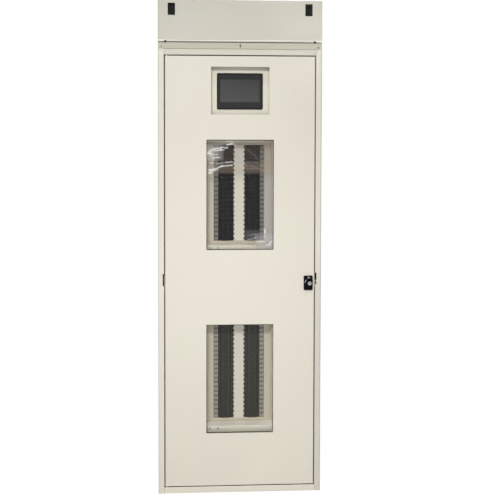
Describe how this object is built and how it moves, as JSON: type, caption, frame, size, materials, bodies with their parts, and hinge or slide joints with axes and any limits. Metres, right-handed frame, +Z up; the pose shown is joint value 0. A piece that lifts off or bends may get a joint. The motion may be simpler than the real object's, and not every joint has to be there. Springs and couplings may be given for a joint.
{
  "type": "remote power panel",
  "caption": "Tall cream floor-standing power distribution cabinet with a flush hinged door, a touch screen in a cut-out and breaker columns behind clear windows",
  "frame": {"origin": "centre of the floor anchor pattern, on the floor", "axes": "+Z up, front faces -Y, +X to the right as seen from the front"},
  "size_m": [0.66, 0.6298, 2],
  "materials": {
    "cabinet_paint": "satin",
    "frame_black": "matte",
    "zinc_steel": "satin",
    "breaker_black": "matte",
    "terminal_grey": "matte",
    "bus_cover_plastic": "matte",
    "copper_bar": "satin",
    "toggle_grey": "matte",
    "screen_black": "matte",
    "screen_glass": "gloss",
    "seal_rubber": "matte",
    "clear_pane": "gloss",
    "clear_film": "gloss",
    "latch_black": "satin",
    "lock_chrome": "polished"
  },
  "bodies": {
    "cabinet": {"frame_stile_left": "cabinet_paint", "frame_stile_right": "cabinet_paint", "frame_rail_top": "cabinet_paint", "frame_rail_bottom": "cabinet_paint", "door_stops": "cabinet_paint", "header_rail": "cabinet_paint", "base_plate": "cabinet_paint", "roof_panel": "cabinet_paint", "roof_gland_plates": "cabinet_paint", "side_panel_left": "cabinet_paint", "side_panel_right": "cabinet_paint", "rear_panel": "cabinet_paint", "inner_panel": "cabinet_paint", "upper_tray": "cabinet_paint", "lower_tray": "cabinet_paint", "corner_posts": "frame_black", "base_gland_plates": "zinc_steel", "mounting_rail_left": "zinc_steel", "mounting_rail_right": "zinc_steel", "panelboard_pans": "zinc_steel", "main_back_pan": "zinc_steel", "screen_clamps": "zinc_steel", "hinge_pins": "zinc_steel", "latch_keeper": "zinc_steel", "header_catches": "zinc_steel", "strip_screws": "zinc_steel", "panel_screws": "zinc_steel", "rear_screws": "zinc_steel", "neutral_bars": "zinc_steel", "upper_breakers": "breaker_black", "lower_breakers": "breaker_black", "bus_bases": "breaker_black", "main_breaker_left": "breaker_black", "main_breaker_right": "breaker_black", "upper_terminals": "terminal_grey", "lower_terminals": "terminal_grey", "upper_bus_cover": "bus_cover_plastic", "lower_bus_cover": "bus_cover_plastic", "busbars": "copper_bar", "ground_bar": "copper_bar", "screen_housing": "screen_black", "screen_bezel": "screen_black", "screen_glass": "screen_glass", "door_gasket": "seal_rubber"},
    "door": {"door_panel": "cabinet_paint", "upper_window_pane": "clear_pane", "lower_window_pane": "clear_pane", "window_retainers": "frame_black", "window_film": "clear_film", "hinge_blocks": "zinc_steel", "latch_housing": "latch_black"},
    "latch": {"latch_knob": "latch_black", "latch_cam": "zinc_steel"},
    "lock": {"lock_plug": "lock_chrome"},
    "header": {"header_cover": "cabinet_paint", "header_latches": "latch_black"},
    "header_slide_left": {"header_slide_left": "latch_black"},
    "header_slide_right": {"header_slide_right": "latch_black"},
    "main_toggle_left": {"main_toggle_left": "toggle_grey"},
    "main_toggle_right": {"main_toggle_right": "toggle_grey"}
  },
  "joints": [
    {"name": "door_hinge", "type": "hinge", "parent": "cabinet", "child": "door", "pos_m": [-0.2955, -0.298, 0.9035], "axis": [0, 0, -1], "range_deg": [0, 105]},
    {"name": "latch_turn", "type": "hinge", "parent": "door", "child": "latch", "pos_m": [0.282, -0.305, 0.86], "axis": [0, -1, 0], "range_deg": [0, 90]},
    {"name": "lock_turn", "type": "hinge", "parent": "latch", "child": "lock", "pos_m": [0.282, -0.305, 0.86], "axis": [0, -1, 0], "range_deg": [0, 90]},
    {"name": "header_tilt", "type": "hinge", "parent": "cabinet", "child": "header", "pos_m": [0, -0.30425, 1.8383], "axis": [1, 0, 0], "range_deg": [0, 60]},
    {"name": "header_slide_left", "type": "slide", "parent": "header", "child": "header_slide_left", "axis": [0, 0, 1], "range_m": [0, 0.006]},
    {"name": "header_slide_right", "type": "slide", "parent": "header", "child": "header_slide_right", "axis": [0, 0, 1], "range_m": [0, 0.006]},
    {"name": "main_toggle_left", "type": "hinge", "parent": "cabinet", "child": "main_toggle_left", "pos_m": [-0.085, -0.259, 0.84332], "axis": [-1, 0, 0], "range_deg": [0, 50]},
    {"name": "main_toggle_right", "type": "hinge", "parent": "cabinet", "child": "main_toggle_right", "pos_m": [0.085, -0.259, 0.84332], "axis": [-1, 0, 0], "range_deg": [0, 50]}
  ]
}
